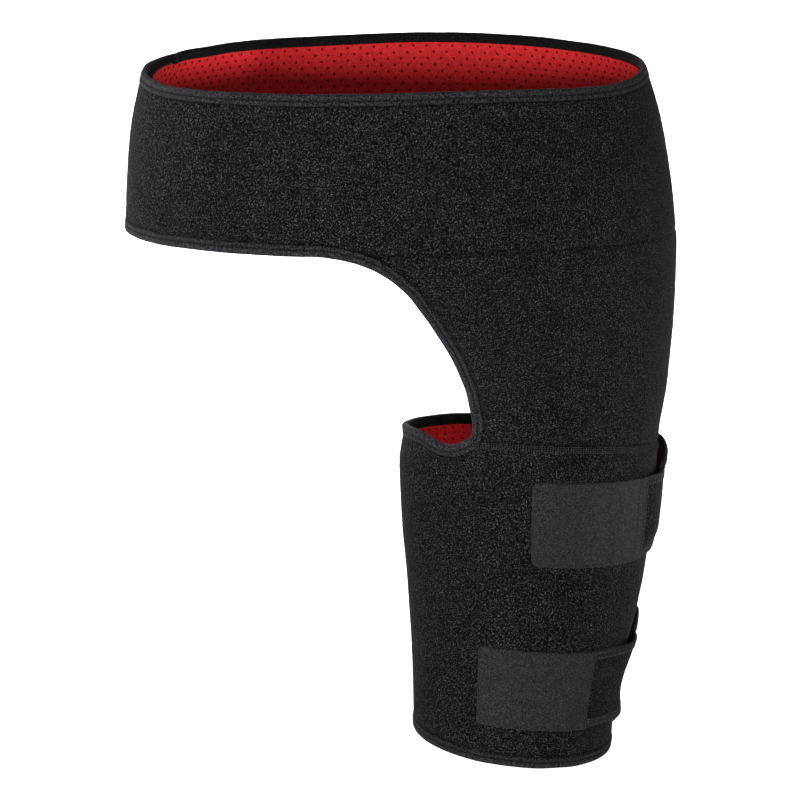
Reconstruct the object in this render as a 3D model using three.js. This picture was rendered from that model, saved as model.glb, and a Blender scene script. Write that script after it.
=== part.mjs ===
// Hip and thigh compression support: a waist belt, a hip panel and a thigh wrap of loop-faced
// neoprene, with a red lining, tape-bound edges and straps that close with hook tabs.
// Millimetres, +Z up. The wearer faces -Y and the supported leg is on +X.
// The origin is the middle of the waist, halfway up the belt.
//
// Every piece lies on one body form, a stack of ellipses. A place on it is an angle in degrees
// (0 outer hip, -90 front, -180 other hip, -270 back) and a height. A wrap that goes round past its
// own start keeps counting, so -360 is the outer hip again, one layer out.

import * as THREE from "three";

// Thicknesses
const SHELL = 2.2;
const LINING = 1.0;
const TAPE = 1.0;
const STRAP = 1.5;
const TAB = 1.6;
const GAP = 0.8;

// How far apart the two layers of each wrap lie where it passes over its own start
const CUFF_LAYER = 5.1;
const BELT_LAYER = 6.4;

// Widths along the cloth
const TAPE_WIDTH = 6.5;
const LINING_INSET = TAPE_WIDTH + 1;
const SEAM_GAP = 0.4;
const LINING_STEP = 0.5;
const EDGE_LEAD = 4;

// Outside of the worn form, from the waist down to the knee side of the thigh
const BODY_FORM = [
  { z: 60, centreX: -2, halfWidth: 156.5, halfDepth: 107 },
  { z: 20, centreX: -0.5, halfWidth: 167, halfDepth: 112 },
  { z: -20, centreX: 1.5, halfWidth: 173, halfDepth: 116 },
  { z: -50, centreX: 3, halfWidth: 175.5, halfDepth: 118 },
  { z: -62, centreX: 4, halfWidth: 175.5, halfDepth: 117 },
  { z: -80, centreX: 16, halfWidth: 163.5, halfDepth: 112 },
  { z: -100, centreX: 36, halfWidth: 143, halfDepth: 103 },
  { z: -120, centreX: 55.5, halfWidth: 122.5, halfDepth: 93 },
  { z: -140, centreX: 72, halfWidth: 104, halfDepth: 84 },
  { z: -155, centreX: 80.5, halfWidth: 94, halfDepth: 78.5 },
  { z: -170, centreX: 85.5, halfWidth: 86.5, halfDepth: 75 },
  { z: -185, centreX: 86, halfWidth: 83.5, halfDepth: 73 },
  { z: -205, centreX: 85.5, halfWidth: 82.5, halfDepth: 72 },
  { z: -240, centreX: 84.5, halfWidth: 80.5, halfDepth: 72 },
  { z: -285, centreX: 84, halfWidth: 76.5, halfDepth: 70 },
  { z: -335, centreX: 80, halfWidth: 69.5, halfDepth: 67 },
  { z: -405, centreX: 75, halfWidth: 61.5, halfDepth: 61 },
];

// Slanted planes of the free edges: height on the Z axis and rise per millimetre of X and Y
const BELT_TOP = { level: 50, height: 50, alongX: -0.006, alongY: 0.043 };
const CUFF_TOP = { level: -190, height: -182.5, alongX: -0.075, alongY: -0.1 };
const CUFF_BOTTOM = { level: -390, height: -376.5, alongX: -0.145, alongY: 0.087 };

// The belt's lower edge is level and dips over the outer hip. The cuff's rim sags beside the hip panel.
const BELT_BOTTOM_Z = -50;
const OUTER_HIP_DIP = 5;
const RIM_SAG = { angle: -138, spread: 12, depth: 4 };

// Free edges of the hip panel: share of the way down from the belt to the cuff, and the two angles
const HIP_EDGE = [
  { down: 0, front: -113, back: 113 },
  { down: 0.022, front: -107.3, back: 107.3 },
  { down: 0.065, front: -102, back: 102 },
  { down: 0.14, front: -98.5, back: 98 },
  { down: 0.23, front: -97.5, back: 96 },
  { down: 0.38, front: -100.5, back: 95 },
  { down: 0.55, front: -106.3, back: 93.5 },
  { down: 0.71, front: -113.5, back: 90 },
  { down: 0.83, front: -118.7, back: 86 },
  { down: 0.93, front: -122.2, back: 81 },
  { down: 0.98, front: -124.5, back: 78 },
  { down: 1, front: -131, back: 76 },
];
const HIP_COLUMNS = 32;

// Turns of the two wraps. The belt's start is tucked inside its end and its rim is bound from there on. The
// thigh wrap's end rises over its start.
const BELT_TURN = { start: 184, bound: 150, end: -217, tuckFrom: 116, tuckTo: 139, step: 8.4 };
const CUFF_TURN = { start: 75, end: -340, riseFrom: -250, riseTo: -275, step: 10 };
const BELT_ROWS = [0, 0.33, 0.67, 1];

// Lobed free end of the thigh wrap: share of the way down the cuff, and the angle where it ends
const WRAP_END = [
  { down: 0, angle: -350 },
  { down: 0.03, angle: -363 },
  { down: 0.08, angle: -374 },
  { down: 0.2, angle: -377 },
  { down: 0.4, angle: -370 },
  { down: 0.43, angle: -360 },
  { down: 0.46, angle: -350 },
  { down: 0.5, angle: -350 },
  { down: 0.53, angle: -360 },
  { down: 0.57, angle: -366 },
  { down: 0.68, angle: -369 },
  { down: 0.85, angle: -369 },
  { down: 0.93, angle: -366 },
  { down: 0.97, angle: -360 },
  { down: 1, angle: -351 },
];
const LOBE_COLUMNS = 5;
const NOTCH_ROWS = { first: 5, last: 8 };
const CUFF_LINING_TOP = 0.04;
const CUFF_LINING_STEP = 0.0025;
const CUFF_LINING_ROWS = [0, 0.2, 0.46, 0.68, 0.96];

// The outer layer's lower edge stays above the inner layer's tape
const OUTER_RAISE = { share: 0.045, from: -262, to: -285 };

// Straps over the lobes and the hook tabs on their ends, on the front of the cuff
const STRAPS = [
  { name: "upper", top: 0.112, bottom: 0.365, root: 38, end: -49, tabStart: -39, tabEnd: -96.3 },
  { name: "lower", top: 0.634, bottom: 0.882, root: 38, end: -68, tabStart: -58, tabEnd: -121 },
];
const STRAP_DROP = { from: -20, to: -50 };
const TAB_STEP = { from: 2, to: 14 };
const STRIP_STEP = 6.5;
const TAB_CORNER = 6;
const CORNER_STEPS = [1, 0.5, 0.13, 0];

// Hook tab on the belt's outer end, at the back
const BELT_TAB = { top: 0.09, bottom: 0.91, start: 152, end: 97 };

// Materials
const cloth = (color, roughness) => new THREE.MeshStandardMaterial({ color, roughness, metalness: 0 });
const LOOP_CLOTH = cloth(0x1f1f22, 0.95);
const RED_LINING = cloth(0xb81c1e, 0.85);
const EDGE_TAPE = cloth(0x2b2b2f, 0.8);
const HOOK_TAPE = cloth(0x3a3a3d, 0.75);

// Smooth curve through one column of a table, straight beyond its ends
function columnAt(rows, key, column, at) {
  const order = rows[0][key] < rows[1][key] ? 1 : -1;
  let i = 0;
  while (i < rows.length - 2 && order * (at - rows[i + 1][key]) > 0) i += 1;
  const slope = (a, b) => (rows[b][column] - rows[a][column]) / (rows[b][key] - rows[a][key]);
  const near = slope(Math.max(i - 1, 0), Math.min(i + 1, rows.length - 1));
  const far = slope(i, Math.min(i + 2, rows.length - 1));
  const span = rows[i + 1][key] - rows[i][key];
  const t = (at - rows[i][key]) / span;
  if (t < 0) return rows[i][column] + near * (at - rows[i][key]);
  if (t > 1) return rows[i + 1][column] + far * (at - rows[i + 1][key]);
  const h = t * t * (3 - 2 * t);
  const value = rows[i][column] * (1 - h) + rows[i + 1][column] * h;
  return value + span * t * (1 - t) * (near * (1 - t) - far * t);
}

const smoothstep = THREE.MathUtils.smoothstep;
const lerp = THREE.MathUtils.lerp;

// Point of the form at an angle and height
function formPoint(angle, z) {
  const turn = THREE.MathUtils.degToRad(angle);
  const x = columnAt(BODY_FORM, "z", "centreX", z);
  const a = columnAt(BODY_FORM, "z", "halfWidth", z);
  const b = columnAt(BODY_FORM, "z", "halfDepth", z);
  return new THREE.Vector3(x + a * Math.cos(turn), b * Math.sin(turn), z);
}

// Outward normal of the form
function formNormal(angle, z) {
  const round = formPoint(angle + 0.5, z).sub(formPoint(angle - 0.5, z));
  const up = formPoint(angle, z + 0.5).sub(formPoint(angle, z - 0.5));
  return round.cross(up).normalize();
}

// Place on the form, lifted out along the normal
function clothPoint(angle, z, lift) {
  return formPoint(angle, z).addScaledVector(formNormal(angle, z), lift);
}

// Heights of the edges and seams at an angle
function planeHeight(plane, angle) {
  const p = formPoint(angle, plane.level);
  return plane.height + plane.alongX * p.x + plane.alongY * p.y;
}

function beltBottom(angle) {
  const outward = Math.max(0, Math.cos(THREE.MathUtils.degToRad(angle)));
  return BELT_BOTTOM_Z - OUTER_HIP_DIP * outward * outward;
}

function cuffTop(angle) {
  const away = THREE.MathUtils.euclideanModulo(angle - RIM_SAG.angle + 180, 360) - 180;
  const sag = RIM_SAG.depth * Math.exp(-((away / RIM_SAG.spread) ** 2));
  return planeHeight(CUFF_TOP, angle) - sag;
}

const beltHeight = (angle, down) => lerp(planeHeight(BELT_TOP, angle), beltBottom(angle), down);
const hipHeight = (angle, down) => lerp(beltBottom(angle), cuffTop(angle), down);
const cuffHeight = (angle, down) => lerp(cuffTop(angle), planeHeight(CUFF_BOTTOM, angle), down);

// How far each wrap lies off the form where it passes over its own start
function beltLift(angle) {
  return -BELT_LAYER * smoothstep(angle, BELT_TURN.tuckFrom, BELT_TURN.tuckTo);
}

function cuffLift(angle) {
  return CUFF_LAYER * smoothstep(-angle, -CUFF_TURN.riseFrom, -CUFF_TURN.riseTo);
}

// Evenly spaced angles from start to end
function angleSteps(start, end, step) {
  const count = Math.max(1, Math.round(Math.abs(end - start) / step));
  return Array.from({ length: count + 1 }, (_, i) => lerp(start, end, i / count));
}

// Mesh of a closed surface from points and faces of three or four corners, with its faces turned out
function closedMesh(name, points, faces, material) {
  const corners = faces.flatMap((f) => (f.length === 4 ? [f[0], f[1], f[2], f[0], f[2], f[3]] : f));
  let volume = 0;
  for (let i = 0; i < corners.length; i += 3) {
    const [a, b, c] = [points[corners[i]], points[corners[i + 1]], points[corners[i + 2]]];
    volume += a.dot(b.clone().cross(c));
  }
  if (volume < 0) corners.reverse();
  const geometry = new THREE.BufferGeometry().setFromPoints(points);
  geometry.setIndex(corners);
  geometry.computeVertexNormals();
  const mesh = new THREE.Mesh(geometry, material);
  mesh.name = name;
  return mesh;
}

// Wall of cloth over a grid of places: rows of { angle, z, lift }, with a thickness inwards
function wall(name, grid, thickness, material) {
  const rows = grid.length;
  const columns = grid[0].length;
  const face = (depth) => grid.flat().map((p) => clothPoint(p.angle, p.z, p.lift - depth));
  const points = [...face(0), ...face(thickness)];
  const out = (i, j) => i * columns + j;
  const inn = (i, j) => rows * columns + i * columns + j;
  const faces = [];
  for (let i = 0; i < rows - 1; i += 1) {
    for (let j = 0; j < columns - 1; j += 1) {
      faces.push([out(i, j), out(i + 1, j), out(i + 1, j + 1), out(i, j + 1)]);
      faces.push([inn(i, j), inn(i, j + 1), inn(i + 1, j + 1), inn(i + 1, j)]);
    }
    faces.push([out(i, 0), inn(i, 0), inn(i + 1, 0), out(i + 1, 0)]);
    faces.push([out(i, columns - 1), out(i + 1, columns - 1), inn(i + 1, columns - 1), inn(i, columns - 1)]);
  }
  for (let j = 0; j < columns - 1; j += 1) {
    faces.push([out(0, j), out(0, j + 1), inn(0, j + 1), inn(0, j)]);
    faces.push([out(rows - 1, j), inn(rows - 1, j), inn(rows - 1, j + 1), out(rows - 1, j + 1)]);
  }
  return closedMesh(name, points, faces, material);
}

// Tape folded over an edge. The edge is a list of { angle, z, lift } with the cloth on its left,
// seen from outside. The section is a U: down the outside, over the edge and down the inside.
function binding(name, edge) {
  const at = edge.map((p) => clothPoint(p.angle, p.z, p.lift));
  const outFace = GAP + TAPE;
  const inFace = -(SHELL + GAP + TAPE);
  const section = [
    { out: outFace, into: TAPE_WIDTH },
    { out: outFace, into: -outFace },
    { out: inFace, into: -outFace },
    { out: inFace, into: TAPE_WIDTH },
    { out: inFace + TAPE, into: TAPE_WIDTH },
    { out: inFace + TAPE, into: -GAP },
    { out: outFace - TAPE, into: -GAP },
    { out: outFace - TAPE, into: TAPE_WIDTH },
  ];
  const sides = section.length;
  const points = edge.flatMap((p, i) => {
    const along = at[Math.min(i + 1, at.length - 1)].clone().sub(at[Math.max(i - 1, 0)]).normalize();
    const normal = formNormal(p.angle, p.z);
    const into = normal.clone().cross(along).normalize();
    return section.map((s) => at[i].clone().addScaledVector(normal, s.out).addScaledVector(into, s.into));
  });
  const faces = [];
  for (let i = 0; i < edge.length - 1; i += 1) {
    for (let k = 0; k < sides; k += 1) {
      const next = (k + 1) % sides;
      faces.push([i * sides + k, i * sides + next, (i + 1) * sides + next, (i + 1) * sides + k]);
    }
  }
  const last = (edge.length - 1) * sides;
  for (const quad of [[0, 1, 6, 7], [1, 2, 5, 6], [2, 3, 4, 5]]) {
    faces.push([...quad].reverse());
    faces.push(quad.map((k) => last + k));
  }
  return closedMesh(name, points, faces, EDGE_TAPE);
}

// Grid of the belt between two shares of its height
function beltGrid(rows, edgeInset) {
  return rows.map((down) =>
    angleSteps(BELT_TURN.start, BELT_TURN.end, BELT_TURN.step).map((angle) => {
      const top = planeHeight(BELT_TOP, angle) - edgeInset;
      const low = edgeInset ? liningBottom(angle) : beltBottom(angle) + SEAM_GAP / 2;
      return { angle, z: THREE.MathUtils.clamp(beltHeight(angle, down), low, top), lift: beltLift(angle) };
    }),
  );
}

// Row of the hip panel between two angles, a seam's gap clear of the belt and the cuff
function hipRow(down, front, back) {
  return Array.from({ length: HIP_COLUMNS + 1 }, (_, j) => {
    const angle = lerp(front, back, j / HIP_COLUMNS);
    const z = lerp(beltBottom(angle) - SEAM_GAP / 2, cuffTop(angle) + SEAM_GAP / 2, down);
    return { angle, z, lift: 0 };
  });
}

// Angles across the thigh wrap at a share of its height, out to its lobed end
function cuffAngles(lobeEnd) {
  const turn = angleSteps(CUFF_TURN.start, CUFF_TURN.end, CUFF_TURN.step);
  const shares = Array.from({ length: LOBE_COLUMNS }, (_, k) => (k + 1) / LOBE_COLUMNS);
  return [...turn, ...shares.map((share) => lerp(CUFF_TURN.end, lobeEnd, share))];
}

function cuffPlace(angle, down) {
  const reach = 1 - OUTER_RAISE.share * smoothstep(-angle, -OUTER_RAISE.from, -OUTER_RAISE.to);
  const z = cuffHeight(angle, down * reach) - (SEAM_GAP / 2) * (1 - down);
  return { angle, z, lift: cuffLift(angle) };
}

// Edge of the leg opening: along the belt's lower edge, down the hip panel's front, round the cuff's rim
const frontCorner = HIP_EDGE[0].front;
const rimCorner = HIP_EDGE[HIP_EDGE.length - 1].front;
const legOpeningEdge = [
  ...angleSteps(BELT_TURN.end, frontCorner - EDGE_LEAD, BELT_TURN.step).map((angle) => ({
    angle,
    z: beltBottom(angle),
    lift: beltLift(angle),
  })),
  ...HIP_EDGE.map((row) => ({ angle: row.front, z: hipHeight(row.front, row.down), lift: 0 })),
  ...angleSteps(rimCorner - EDGE_LEAD, CUFF_TURN.end, CUFF_TURN.step).map((angle) => cuffPlace(angle, 0)),
  ...WRAP_END.slice(0, 2).map((row) => cuffPlace(row.angle, row.down)),
];

// Edge at the back: up the hip panel from just above the cuff, then along the belt to its inner end
const hipBackEdge = [
  ...HIP_EDGE.slice(0, -1)
    .reverse()
    .map((row) => ({ angle: row.back, z: hipHeight(row.back, row.down), lift: 0 })),
  ...angleSteps(HIP_EDGE[0].back + EDGE_LEAD, BELT_TURN.start, BELT_TURN.step).map((angle) => ({
    angle,
    z: beltBottom(angle),
    lift: beltLift(angle),
  })),
];

const beltTopEdge = angleSteps(BELT_TURN.bound, BELT_TURN.end, BELT_TURN.step).map((angle) => ({
  angle,
  z: planeHeight(BELT_TOP, angle),
  lift: beltLift(angle),
}));

const cuffBottomEdge = [
  ...WRAP_END.slice(-2).map((row) => cuffPlace(row.angle, row.down)),
  ...angleSteps(CUFF_TURN.end, CUFF_TURN.start, CUFF_TURN.step).map((angle) => cuffPlace(angle, 1)),
];

const notchRows = WRAP_END.slice(NOTCH_ROWS.first, NOTCH_ROWS.last + 1);
const notchEdge = notchRows.map((row) => cuffPlace(row.angle, row.down));

// Bound edges that a lining keeps clear of
function edgeLines(edge) {
  const at = edge.map((p) => clothPoint(p.angle, p.z, p.lift));
  return at.slice(1).map((p, i) => new THREE.Line3(at[i], p));
}

const boundLines = [...edgeLines(legOpeningEdge), ...edgeLines(hipBackEdge)];

function isClearOfTape(place) {
  const p = clothPoint(place.angle, place.z, place.lift);
  const nearest = new THREE.Vector3();
  return boundLines.every((line) => line.closestPointToPoint(p, true, nearest).distanceTo(p) >= LINING_INSET);
}

// Lower edge of the belt's lining: the seam over the hip panel, and clear of the tape elsewhere
function liningBottom(angle) {
  let z = beltBottom(angle) + SEAM_GAP / 2;
  const highest = BELT_BOTTOM_Z + LINING_INSET;
  while (z < highest && !isClearOfTape({ angle, z, lift: beltLift(angle) })) z += LINING_STEP;
  return Math.min(z, highest);
}

// First angle of a hip lining row that is clear of the tape, going from a free edge towards the middle
function liningSide(angle, down, step) {
  let side = angle;
  while (!isClearOfTape({ angle: side, z: hipHeight(side, down), lift: 0 })) side += step;
  return side;
}

// Upper edge of the thigh lining: the seam under the hip panel, and clear of the tape elsewhere
function liningTop(angle) {
  let down = 0;
  while (down < CUFF_LINING_TOP && !isClearOfTape(cuffPlace(angle, down))) down += CUFF_LINING_STEP;
  return Math.min(down, CUFF_LINING_TOP);
}

// The same places on the inside of the cloth, where a lining lies
function inside(grid) {
  return grid.map((row) => row.map((p) => ({ ...p, lift: p.lift - SHELL - GAP })));
}

function waistBelt() {
  return [
    wall("waist_belt", beltGrid(BELT_ROWS, 0), SHELL, LOOP_CLOTH),
    wall("belt_lining", inside(beltGrid(BELT_ROWS, LINING_INSET)), LINING, RED_LINING),
    binding("belt_top_binding", beltTopEdge),
    hookTab("belt_hook_tab", BELT_TAB, BELT_TAB, beltHeight, () => GAP),
  ];
}

function hipPanel() {
  const panelRows = HIP_EDGE.map((row) => hipRow(row.down, row.front, row.back));
  const liningRows = HIP_EDGE.map((row) => {
    const front = liningSide(row.front, row.down, LINING_STEP);
    const back = liningSide(row.back, row.down, -LINING_STEP);
    return hipRow(row.down, front, back);
  });
  return [
    wall("hip_panel", panelRows, SHELL, LOOP_CLOTH),
    wall("hip_lining", inside(liningRows), LINING, RED_LINING),
    binding("leg_opening_binding", legOpeningEdge),
    binding("hip_back_binding", hipBackEdge),
  ];
}

function thighWrap() {
  const wrapRows = WRAP_END.map((row) => cuffAngles(row.angle).map((angle) => cuffPlace(angle, row.down)));
  const turn = angleSteps(CUFF_TURN.start, CUFF_TURN.end, CUFF_TURN.step);
  const liningRows = CUFF_LINING_ROWS.map((down) =>
    turn.map((angle) => cuffPlace(angle, Math.max(down, liningTop(angle)))),
  );
  return [
    wall("thigh_wrap", wrapRows, SHELL, LOOP_CLOTH),
    wall("thigh_lining", inside(liningRows), LINING, RED_LINING),
    binding("thigh_bottom_binding", cuffBottomEdge),
    binding("wrap_notch_binding", notchEdge),
  ];
}

// Strip laid on the cloth over the given angles, between two shares of the height there
function strip(name, angles, band, heightAt, liftAt, thickness, material, trimAt) {
  const grid = [0, 0.5, 1].map((across) =>
    angles.map((angle) => {
      const top = heightAt(angle, band.top);
      const low = heightAt(angle, band.bottom);
      const trim = trimAt(angle, (top + low) / 2);
      return { angle, z: lerp(top - trim, low + trim, across), lift: liftAt(angle) + thickness };
    }),
  );
  return wall(name, grid, thickness, material);
}

// Tab of hook tape from one angle to another, with its far corners rounded
function hookTab(name, band, reach, heightAt, liftAt) {
  const plain = angleSteps(reach.start, reach.end, STRIP_STEP).slice(0, -1);
  const angles = [...plain, ...cornerAngles(band, reach.end, heightAt)];
  const trimAt = (angle, z) => cornerTrim(angle, reach.end, z);
  return strip(name, angles, band, heightAt, liftAt, TAB, HOOK_TAPE, trimAt);
}

// Length round the form from an angle to the strip's end
function lengthToEnd(angle, end, z) {
  return formPoint(angle, z).distanceTo(formPoint(end, z));
}

// How much a rounded corner takes off each side near a strip's end
function cornerTrim(angle, end, z) {
  const left = Math.min(TAB_CORNER, lengthToEnd(angle, end, z));
  return TAB_CORNER - Math.sqrt(TAB_CORNER ** 2 - (TAB_CORNER - left) ** 2);
}

// Angles that round a strip's last corners in a few steps
function cornerAngles(band, end, heightAt) {
  const z = heightAt(end, (band.top + band.bottom) / 2);
  const degreesPerLength = 1 / lengthToEnd(end + 1, end, z);
  return CORNER_STEPS.map((share) => end + share * TAB_CORNER * degreesPerLength);
}

// Straps lie on the lobes and come down to the cuff in front of them, and tabs lie on strap and cuff
function strapLift(angle) {
  return GAP + CUFF_LAYER * smoothstep(angle, STRAP_DROP.to, STRAP_DROP.from);
}

function closureStraps() {
  return STRAPS.flatMap((strap) => {
    const angles = angleSteps(strap.root, strap.end, STRIP_STEP);
    const onStrap = (angle) => smoothstep(angle, strap.end - TAB_STEP.to, strap.end - TAB_STEP.from);
    const tabLift = (angle) => strapLift(angle) + (STRAP + GAP) * onStrap(angle);
    const reach = { start: strap.tabStart, end: strap.tabEnd };
    return [
      strip(`${strap.name}_strap`, angles, strap, cuffHeight, strapLift, STRAP, LOOP_CLOTH, () => 0),
      hookTab(`${strap.name}_hook_tab`, strap, reach, cuffHeight, tabLift),
    ];
  });
}

const support = new THREE.Group();
for (const pieces of [waistBelt(), hipPanel(), thighWrap(), closureStraps()]) {
  const assembly = new THREE.Group();
  assembly.add(...pieces);
  support.add(assembly);
}

export default support;
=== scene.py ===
"""Hip and thigh compression support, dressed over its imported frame.

Lengths are in millimetres until a mesh is made and angles in degrees, as in the CAD model: a place on
the worn form is an angle (0 outer hip, -90 front, -180 other hip, -270 back), a height and a lift.
"""
import math
from itertools import product

import bpy
import numpy as np
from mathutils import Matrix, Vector
from mathutils.kdtree import KDTree


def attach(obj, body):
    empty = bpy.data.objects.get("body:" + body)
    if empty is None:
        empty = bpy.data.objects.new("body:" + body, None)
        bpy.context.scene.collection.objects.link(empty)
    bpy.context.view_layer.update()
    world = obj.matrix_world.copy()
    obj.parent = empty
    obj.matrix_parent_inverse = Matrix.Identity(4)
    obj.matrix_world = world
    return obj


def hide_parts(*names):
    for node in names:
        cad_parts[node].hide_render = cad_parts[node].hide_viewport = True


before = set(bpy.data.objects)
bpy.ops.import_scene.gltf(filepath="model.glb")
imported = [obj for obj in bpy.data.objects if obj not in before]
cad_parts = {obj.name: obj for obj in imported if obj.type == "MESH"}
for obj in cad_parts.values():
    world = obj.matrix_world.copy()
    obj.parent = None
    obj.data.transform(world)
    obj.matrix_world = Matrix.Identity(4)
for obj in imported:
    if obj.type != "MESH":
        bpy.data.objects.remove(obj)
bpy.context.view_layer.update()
METRES = 0.001

# Thicknesses and layers of the CAD model
SHELL = 2.2
STRAP = 1.5
TAB = 1.6
CUFF_LAYER = 5.1
LOBE_LAYER = 3.7
BELT_LAYER = 4.9

# Sizes that only the looks need
STRAP_CLEAR = 0.3
LINING_OUT = 2.4
LINING_IN = 3.4
TAPE_WIDTH = 6.1
TAPE_INSIDE = 4.8
TAPE_PROUD = 0.6
TAPE_SEW = 3.1
LINING_INSET = TAPE_INSIDE + 0.2
TAPE_FOLD = {"into": 0.35, "round": 1.75}
TAPE_GROOVE = {"half": 0.9, "floor": 0.08}
TAPE_PATH_STEP = 2.0
NOTCH_PATH_STEP = 1.2
STRAP_BAND = 5.6
HOOK_NAP = 0.05
NAP = 0.2
DRAPE = 0.45
GRID = 1.35
INNER_STEP = 4
FAR_AWAY = 40.0
PERFORATION = {"across": 3.75, "down": 8.0, "radius": 0.92, "depth": 0.7}
# Cloth beside a tape: drawn in and darker next to it with painted shadow, paler a little further off
TAPE_DIP = {"beyond": 0.6, "spread": 1.2, "depth": 0.25, "shade": 0.95}
TAPE_PALER = {"spread": 7.0, "shade": 0.45}
# SEAM's shade is painted shade along the sewn seams.
SEAM = {"spread": 1.6, "depth": 0.8, "shade_spread": 1.5, "shade": 0.4}
# Pitch, length and radius of the stitches
TAPE_STITCH = (2.3, 1.35, 0.45)
INSIDE_STITCH = (2.3, 1.35, 0.35)
SEAM_STITCH = (1.7, 1.2, 0.34)
STRAP_STITCH = (2.3, 1.6, 0.36)
# Lengths along which the cloth and lining grids are divided
BELT_GRID = {"down": 102, "along": 966}
HIP_GRID_ALONG = 330
WRAP_GRID = {"down": 205, "along": 650, "lobe": 48}
LINING_GRID = {"belt": (92, 950), "hip": (150, 410), "thigh": (192, 600)}
# Bounds of the thigh lining: shares of the way down, and degrees in from the wrap's start and end
THIGH_LINING = {"top": 0.03, "under_hip": 0.001, "bottom": 0.968, "start": 2.0, "end": 5.0}
WRAP_REACH = -372
HIP_FRONT_END = (-140, -131)

# Worn form: height, centre across, half width and half depth, from the thigh up to the waist
BODY_FORM = np.array([
    (-405, 75.3, 63, 61), (-335, 80, 69.5, 67), (-285, 84, 76.5, 70), (-240, 84.5, 81.3, 72),
    (-205, 85.3, 83.3, 72), (-185, 86, 83.5, 73), (-170, 85.5, 86.5, 75), (-155, 80.5, 94, 78.5),
    (-140, 72, 104, 84), (-120, 55.5, 122.5, 93), (-100, 36, 143, 103), (-80, 16, 163.5, 112),
    (-62, 4, 175.5, 117), (-50, 3, 175.5, 118), (-20, 1.9, 173.3, 116), (20, 0, 167.6, 112),
    (60, -2, 156.5, 107),
])

# Slanted planes of the free edges
BELT_TOP = {"level": 50, "height": 50.5, "along_x": -0.006, "along_y": 0.048}
CUFF_TOP = {"level": -190, "height": -182.5, "along_x": -0.075, "along_y": -0.1}
CUFF_BOTTOM = {"level": -390, "height": -381.5, "along_x": -0.096, "along_y": 0.087}
BELT_BOTTOM_Z = -50
OUTER_HIP_DIP = 5
# Rise and fall of the belt's upper edge round the waist: angle and height
RIM_WAVE = np.array([
    (-195, 0), (-161, -3.5), (-122, 0), (-90, 2.6), (-70, 2.2), (-36, -1.8), (6, 1.3), (45, 2.1), (75, 1.6),
    (105, -0.5), (145, 1.3), (184, 0.5),
])
# Dip and rise of the cuff's rim, and how far it is drawn in at the inner thigh
RIM_SAG = {"angle": -138, "spread": 12, "depth": 6.3}
RIM_RISE = {"angle": 112, "spread": 32, "height": 2.7}
RIM_DRAW = {"angle": -182, "spread": 28, "depth": 2.2, "reach": 0.12}

# Free edges of the hip panel: share of the way down, front angle and back angle
HIP_EDGE = np.array([
    (0, -112, 113), (0.022, -106, 107.3), (0.065, -100.6, 102), (0.14, -97.6, 98), (0.23, -97.2, 96),
    (0.38, -100.5, 95), (0.55, -106.3, 93.5), (0.71, -113.5, 90), (0.83, -118.7, 86), (0.93, -122.2, 81),
    (0.98, -124.5, 78), (1, -131, 76),
])

# Turns of the two wraps. The belt's start is tucked inside its end, where its rim has no tape.
# The thigh wrap's end rises over its start.
BELT_TURN = {"start": 184, "bound": 150, "end": -217, "tuck_from": 116, "tuck_to": 139}
BELT_START_DROP = {"depth": 4.4, "before": 0.4, "after": 2}
BELT_END_DROP = {"depth": 1.6, "from": 170, "to": 188}
HIP_SEAM_END = (104, 113)
THIGH_SEAM_END = (-131, -124)
CUFF_TURN = {"start": 75, "end": -340, "rise_from": -250, "rise_to": -275}
OUTER_RAISE = {"share": 0.045, "from": -262, "to": -285}
LOBE_SETTLE = {"from": 330, "to": 350}
LOBE_FLARE = {"height": 3.0, "from": 318, "to": 352, "down_from": 0.03, "down_to": 0.12}

# Lobed free end of the thigh wrap: share of the way down and the angle where it ends
WRAP_END = np.array([
    (0, -350), (0.03, -363), (0.08, -374), (0.19, -376.5), (0.25, -371), (0.28, -361), (0.31, -350),
    (0.57, -350), (0.595, -360), (0.625, -366), (0.652, -368), (0.68, -369), (0.85, -369), (0.93, -366),
    (0.97, -360), (1, -351),
])

# Straps over the lobes and the hook tabs on their ends
STRAPS = {
    "upper": {"top": 0.112, "bottom": 0.371, "root": 38, "end": -49, "tab": (-36, -96.3), "corner": 5.0,
              "rise": 4.5, "curl": 0.85},
    "lower": {"top": 0.634, "bottom": 0.882, "root": 38, "end": -68, "tab": (-58, -121), "corner": 3.0,
              "rise": 0.0, "curl": 0.0},
}
STRAP_END_ROUND = 1.0
STRAP_RISE = {"from": -75, "to": -12}
STRAP_DROP = {"from": -20, "to": -50}
STRAP_CURL = {"share_from": 0.7, "share_to": 1.0, "from": -12, "to": 6}
TAB_STEP = {"from": 2, "to": 14, "clear": 0.1}
BELT_TAB = {"top": 0.09, "bottom": 0.91, "start": 152, "end": 97, "corner": 6.0, "lift": 0.5}
# Sewn rows: degrees in from the end of a tab or strap, and heights over the seam below the hip panel
TAB_SEAMS = (1.6, 6.4)
ROOT_SEAMS = (1.8, 9.0)
BELT_TAB_SEAMS = (0.9, 2.6, 7.2)
THIGH_SEAM_ROWS = (-4.0, -2.9, -1.8, -0.7)
THIGH_SEAM_TURN = (-128, 74)
TAB_SEAM_SUNK = 0.35
ROOT_SEAM_SUNK = 0.3

# Cloth drawn in under the lower strap at the outer side of the thigh
SQUEEZE = {"z": -354, "height": 21, "angle": -5, "spread": 32, "depth": 5.0}


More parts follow.
